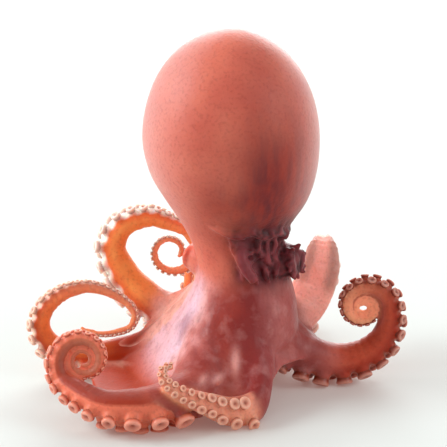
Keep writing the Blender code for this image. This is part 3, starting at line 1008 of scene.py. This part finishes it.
# %% Eyeballs
eyeballs = []
for centre, _, looks in EYES.values():
    looks = np.array(Vector(looks).normalized())
    eyeballs.append(ball(np.array(centre) + looks * EYEBALL_SET_OUT, (EYEBALL_RADIUS,) * 3, sides=32))
eyes = mesh_object("eyes", *joined(eyeballs))
eyes.data.shade_smooth()
print("2 eyes", 2 * EYEBALL_RADIUS, "mm across")

# %% [markdown]
# ## Skin as a material
#
# Boiled octopus skin is a thin, wet, pigmented layer over white muscle. Light goes some
# millimetres into it and comes out redder, so thin webs and arm tips glow, and the wet
# surface gives soft highlights. The pigment sits in tiny sacs, which show as freckles,
# and it runs from coral on the mantle to wine red and plum round the neck, and to
# orange on the arms. Blender's Principled shader has both the subsurface scattering
# and the gloss. Its colour is mixed step by step from the masks and from noise. A Mix
# node's sockets share their names, so they go by number: 0 is the share, 6 and 7 are
# the colours. On a Map Range, 0 is the value, 1 and 2 its range, 4 the most it gives.

# %% Material: boiled skin, the body's colour
def add_node(tree, kind, sockets=(), **settings):
    """Adds a node, with its settings, and a value or a link for each of these sockets."""
    node = tree.nodes.new(kind)
    for name, value in settings.items():
        setattr(node, name, value)
    for name, value in dict(sockets).items():
        if isinstance(value, bpy.types.NodeSocket):
            tree.links.new(value, node.inputs[name])
        else:
            node.inputs[name].default_value = value
    return node


def new_material(name):
    material = bpy.data.materials.new(name)
    material.use_nodes = True
    return material, material.node_tree, material.node_tree.nodes["Principled BSDF"]


PER_MM = 1000.0

skin_material, tree, shader = new_material("boiled_octopus_skin")
place = add_node(tree, "ShaderNodeTexCoord").outputs["Object"]
mask = {name: add_node(tree, "ShaderNodeAttribute", attribute_name=name).outputs["Fac"] for name in masks}
paint = {name: add_node(tree, "ShaderNodeAttribute", attribute_name=name).outputs["Color"] for name in paints}
mottle = add_node(tree, "ShaderNodeTexNoise", {"Vector": place, "Scale": PER_MM / 11, "Detail": 4.0}).outputs[0]
blotch = add_node(tree, "ShaderNodeTexNoise", {"Vector": place, "Scale": PER_MM / 3.2, "Detail": 5.0}).outputs[0]
freckle = add_node(tree, "ShaderNodeTexNoise", {"Vector": place, "Scale": PER_MM / 0.7, "Detail": 2.0}).outputs[0]

streaked = add_node(tree, "ShaderNodeMapping", {"Vector": place, "Scale": (1.0, 1.0, 0.16)}).outputs[0]
streak = add_node(tree, "ShaderNodeTexNoise", {"Vector": streaked, "Scale": PER_MM / 1.8, "Detail": 4.0}).outputs[0]

colour = add_node(tree, "ShaderNodeMix", {
    0: add_node(tree, "ShaderNodeMapRange", {0: mottle, 1: 0.3, 2: 0.7}).outputs[0],
    6: linear("#da7862"), 7: linear("#c66050"),
}, data_type="RGBA").outputs[2]
wine = add_node(tree, "ShaderNodeMix", {
    0: add_node(tree, "ShaderNodeMapRange", {0: streak, 1: 0.35, 2: 0.65}).outputs[0],
    6: linear("#922a1e"), 7: linear("#6a1c20"),
}, data_type="RGBA").outputs[2]
# The wine band is the mantle's own colour. The greyer right edge and the paler edges are painted light.
for share, other in ((mask["dusky"], linear("#cc807a")), (mask["wine"], wine), (mask["pale"], linear("#dca8a4"))):
    colour = add_node(tree, "ShaderNodeMix", {0: share, 6: colour, 7: other}, data_type="RGBA").outputs[2]
# The crown's colour from its stops, with painted light in the pale stops on the left.
crown_tone = add_node(tree, "ShaderNodeMix", {
    0: add_node(tree, "ShaderNodeMapRange", {0: blotch, 1: 0.5, 2: 0.7, 4: 0.22}).outputs[0],
    6: paint["crown_colour"], 7: linear("#d8a09c"),
}, data_type="RGBA").outputs[2]
crown_tone = add_node(tree, "ShaderNodeMix", {
    0: add_node(tree, "ShaderNodeMapRange", {0: streak, 1: 0.5, 2: 0.72, 4: 0.3}).outputs[0],
    6: crown_tone, 7: linear("#7a2a2c"),
}, data_type="RGBA").outputs[2]
# The pocket's orange is partly a painted glow of light shining through the web.
for share, other in (
    (mask["crown"], crown_tone), (mask["bruise"], linear("#8a4456")), (mask["pocket"], linear("#a82e00")),
):
    colour = add_node(tree, "ShaderNodeMix", {0: share, 6: colour, 7: other}, data_type="RGBA").outputs[2]
print("the body's colour takes", len(tree.nodes), "nodes")

# %% [markdown]
# ## The arms in the same material
#
# An arm is darkest along its back, reddest just above the suckers, where boiling draws
# the pigment together, and bare and pale below. Its tip is so thin that light shines
# through it, and that glow is painted in as a paler, orange tip. The arm stays in the
# skin's own material, because a second material would need a border between two sets of
# faces, and there is none on the animal.

# %% The arms' colour
arm_back = add_node(tree, "ShaderNodeMix", {
    0: add_node(tree, "ShaderNodeMapRange", {0: blotch, 1: 0.3, 2: 0.7, 4: 0.5}).outputs[0],
    6: paint["arm_back"], 7: paint["arm_edge"],
}, data_type="RGBA").outputs[2]
arm_side = add_node(tree, "ShaderNodeMix", {
    0: add_node(tree, "ShaderNodeMapRange", {0: mask["under"], 1: -0.24, 2: -0.06}).outputs[0],
    6: arm_back, 7: paint["arm_edge"],
}, data_type="RGBA").outputs[2]
# Painted glow: the thin tips are mixed toward a pale orange.
arm_side = add_node(tree, "ShaderNodeMix", {
    0: add_node(tree, "ShaderNodeMath", {0: mask["tip"], 1: 0.9}, operation="MULTIPLY").outputs[0],
    6: arm_side, 7: linear("#ffae84"),
}, data_type="RGBA").outputs[2]
colour = add_node(tree, "ShaderNodeMix", {0: mask["arm"], 6: colour, 7: arm_side}, data_type="RGBA").outputs[2]
colour = add_node(tree, "ShaderNodeMix", {0: mask["rim"], 6: colour, 7: linear("#c09084")}, data_type="RGBA").outputs[2]
bare = add_node(tree, "ShaderNodeMath", {
    0: add_node(tree, "ShaderNodeMapRange", {0: mask["under"], 1: 0.0, 2: 0.1}).outputs[0], 1: mask["suckered"],
}, operation="MULTIPLY").outputs[0]
colour = add_node(tree, "ShaderNodeMix", {0: bare, 6: colour, 7: paint["arm_underside"]}, data_type="RGBA").outputs[2]

print("with the arms it takes", len(tree.nodes), "nodes")

# %% [markdown]
# ## Thin edges, dark folds, freckles and the wet surface
#
# The last layers lie over body and arms alike. Thin flesh is painted paler, as light
# shining through it makes it, a few glint spots near the hem get painted highlights, and
# the torn folds are nearly black, where the pigment is densest, with painted plum
# highlights on their crests. Freckles are the pigment sacs: noise of 0.7 mm, above its
# middle value only, which is coarser than the real 0.2 mm so that it still shows. The
# same noise gives a very low bump. A roughness of 0.42 is moist, not dripping, and
# water's index is 1.33, so 1.36 fits a film of broth. Red light travels a few
# millimetres in flesh and blue hardly any, which the subsurface radius says.

# %% Layers over all, and the surface
# Painted glow: thin flesh is mixed toward a paler orange pink, as light shining through it makes it.
colour = add_node(tree, "ShaderNodeMix", {
    0: add_node(tree, "ShaderNodeMath", {0: mask["thin"], 1: 0.3}, operation="MULTIPLY").outputs[0],
    6: colour, 7: linear("#ea9478"),
}, data_type="RGBA").outputs[2]
# Painted highlights: the glint spots are mixed toward a pale pink.
colour = add_node(tree, "ShaderNodeMix", {0: mask["frost"], 6: colour, 7: linear("#e4a49c")}, data_type="RGBA").outputs[2]
fold_colour = add_node(tree, "ShaderNodeMix", {
    0: add_node(tree, "ShaderNodeMapRange", {0: blotch, 1: 0.35, 2: 0.65}).outputs[0],
    6: linear("#30040a"), 7: linear("#5a141c"),
}, data_type="RGBA").outputs[2]
# Painted highlights on the fold crests and round the funnel.
fold_colour = add_node(tree, "ShaderNodeMix", {
    0: mask["crest"], 6: fold_colour, 7: linear("#84383e"),
}, data_type="RGBA").outputs[2]
colour = add_node(tree, "ShaderNodeMix", {0: mask["folds"], 6: colour, 7: fold_colour}, data_type="RGBA").outputs[2]
colour = add_node(tree, "ShaderNodeMix", {
    0: add_node(tree, "ShaderNodeMapRange", {0: freckle, 1: 0.5, 2: 0.75, 4: 0.24}).outputs[0],
    6: colour, 7: linear("#7d2a26"),
}, data_type="RGBA").outputs[2]
bump = add_node(tree, "ShaderNodeBump", {"Height": freckle, "Distance": 0.0002, "Strength": 0.5})
tree.links.new(colour, shader.inputs["Base Color"])
tree.links.new(bump.outputs[0], shader.inputs["Normal"])
shader.inputs["Roughness"].default_value = 0.42
shader.inputs["IOR"].default_value = 1.36
shader.inputs["Specular IOR Level"].default_value = 0.35
shader.inputs["Sheen Weight"].default_value = 0.12
shader.inputs["Sheen Roughness"].default_value = 0.4
shader.inputs["Subsurface Weight"].default_value = 0.5
shader.inputs["Subsurface Radius"].default_value = (1.0, 0.3, 0.18)
shader.inputs["Subsurface Scale"].default_value = 0.003
skin.data.materials.clear()
skin.data.materials.append(skin_material)

print("the whole skin takes", len(tree.nodes), "nodes")

# %% [markdown]
# ## Sucker flesh
#
# A sucker is bare muscle with hardly any pigment, so it is paler than the skin, smooth
# and a little glossier. Light is painted into it: its rim is a near-white painted
# highlight, while the stalk and the hole are darker with painted shade. The tone that
# was stored on each ring drives a colour ramp for that, and it multiplies the underside
# colour of the sucker's own arm.

# %% Material: sucker flesh
sucker_material, tree, shader = new_material("pale_sucker_flesh")
tone = add_node(tree, "ShaderNodeAttribute", attribute_name="tone").outputs["Fac"]
own = add_node(tree, "ShaderNodeAttribute", attribute_name="flesh").outputs["Color"]
# Painted light: near white on the rim as a highlight, darker at the stalk and in the hole as shade.
ramp = add_node(tree, "ShaderNodeValToRGB", {0: tone})
for position, code in ((0.25, "#d8d0cc"), (0.5, "#f0ecea"), (0.72, "#ffffff"), (0.86, "#eee6e2")):
    stop = ramp.color_ramp.elements.new(position)
    stop.color = linear(code)
ramp.color_ramp.elements[0].color = linear("#c09c90")
ramp.color_ramp.elements[-1].color = linear("#c49c90")
paler = add_node(tree, "ShaderNodeMix", {
    0: add_node(tree, "ShaderNodeMapRange", {0: tone, 1: 0.3, 2: 0.72, 4: 0.3}).outputs[0],
    6: own, 7: linear("#f6d2c2"),
}, data_type="RGBA").outputs[2]
cup_colour = add_node(tree, "ShaderNodeMix", {
    0: 1.0, 6: paler, 7: ramp.outputs[0],
}, data_type="RGBA", blend_type="MULTIPLY").outputs[2]
tree.links.new(cup_colour, shader.inputs["Base Color"])
shader.inputs["Roughness"].default_value = 0.35
shader.inputs["IOR"].default_value = 1.4
shader.inputs["Subsurface Weight"].default_value = 0.5
shader.inputs["Subsurface Radius"].default_value = (1.0, 0.5, 0.35)
shader.inputs["Subsurface Scale"].default_value = 0.002
suckers.data.materials.append(sucker_material)

print("sucker ramp:", len(ramp.color_ramp.elements), "stops")

# %% [markdown]
# ## Cooked eye
#
# Only a slit of each eyeball shows between its lids. It is nearly black, with the hard
# gloss of a wet lens, so a plain dark colour and a low roughness are enough.

# %% Material: cooked eye
eye_material, tree, shader = new_material("cooked_eye")
shader.inputs["Base Color"].default_value = linear("#241217")
shader.inputs["Roughness"].default_value = 0.15
eyes.data.materials.append(eye_material)
print("eye roughness", shader.inputs["Roughness"].default_value)

# %% [markdown]
# ## What the pieces stand for
#
# All three pieces belong to the animal's one body and move with it, and the skin takes
# the place of the plain solid.

# %% Tie the pieces to the solid
for piece in (skin, suckers, eyes):
    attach(piece, "root")
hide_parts("octopus")
print("skin, suckers and eyes ride on the root")

# %% [markdown]
# ## Floor
#
# Food like this is shown on seamless white paper. Paper is matt and a touch translucent,
# so it glows faintly, pink over a cool white: that pink is painted warm light, as bounced
# off something so red, and it shows mostly in the shadows. The sheet ends well outside
# the view, and it isn't part of the animal.

# %% Seamless paper
FLOOR_SIDE = 4.0
floor = bpy.data.objects.new("floor", bpy.data.meshes.new("floor"))
corner = FLOOR_SIDE / 2
floor.data.from_pydata([(-corner, -corner, 0), (corner, -corner, 0), (corner, corner, 0), (-corner, corner, 0)], [],
                       [(0, 1, 2, 3)])
bpy.context.scene.collection.objects.link(floor)
paper, tree, shader = new_material("studio_paper")
shader.inputs["Base Color"].default_value = linear("#b8cac8")
shader.inputs["Roughness"].default_value = 0.8
# Painted bounce light: a pink glow over the cool base, which tints the shadows warm.
shader.inputs["Emission Color"].default_value = linear("#ffb8ab")
shader.inputs["Emission Strength"].default_value = 0.19
floor.data.materials.append(paper)
print("paper", FLOOR_SIDE, "m square")

# %% [markdown]
# ## Light
#
# Soft light suits wet food: a small hard lamp would dot it with glints. One wide lamp on
# the left shapes the mantle, a weaker one on the right opens its dark side, and a strong
# one behind shines through the webs and whitens the paper. The white room fills what is
# left, since no shadow on white paper is black.

# %% Three soft lamps in a white room
def soft_light(name, place, size, power, code="#ffffff"):
    light = bpy.data.lights.new(name, "AREA")
    light.size = size
    light.energy = power
    light.color = linear(code)[:3]
    item = bpy.data.objects.new(name, light)
    item.location = place
    item.rotation_euler = (Vector((0, 0, 0.04)) - Vector(place)).to_track_quat("-Z", "Y").to_euler()
    bpy.context.scene.collection.objects.link(item)
    return item


soft_light("key", (-0.8, -0.05, 0.5), 0.5, 8.2)
soft_light("fill", (0.8, -0.3, 0.45), 0.6, 3.3)
soft_light("back", (0.1, 1.0, 0.45), 0.9, 12.0)
world = bpy.data.worlds.new("white_room")
bpy.context.scene.world = world
world.use_nodes = True
background = world.node_tree.nodes["Background"]
background.inputs[0].default_value = linear("#ffffff")
background.inputs[1].default_value = 0.55
print("three lamps, room strength", background.inputs[1].default_value)

# %% [markdown]
# ## Camera
#
# A long lens from half a metre away looks slightly down, as one looks at a dish on a
# table. The lens follows from the width that should fill the view at that distance, so
# the framing can be set in real millimetres.

# %% Camera
ELEVATION = math.radians(18)
DISTANCE = 0.56
VIEW_WIDTH = 0.1018
LOOK_AT = Vector((-1.04, 0.0, 39.7))
camera = bpy.data.objects.new("camera", bpy.data.cameras.new("camera"))
camera.data.lens = camera.data.sensor_width * DISTANCE / VIEW_WIDTH
aim = (LOOK_AT + Vector(ORIGIN)) * MM
away = Vector((0, -math.cos(ELEVATION), math.sin(ELEVATION)))
camera.location = aim + away * DISTANCE
camera.rotation_euler = (-away).to_track_quat("-Z", "Y").to_euler()
camera.data.clip_start, camera.data.clip_end = 0.01, 50.0
bpy.context.scene.collection.objects.link(camera)
bpy.context.scene.camera = camera
bpy.context.scene.view_settings.view_transform = "Standard"
print("camera", DISTANCE, "m away, lens", round(camera.data.lens), "mm")
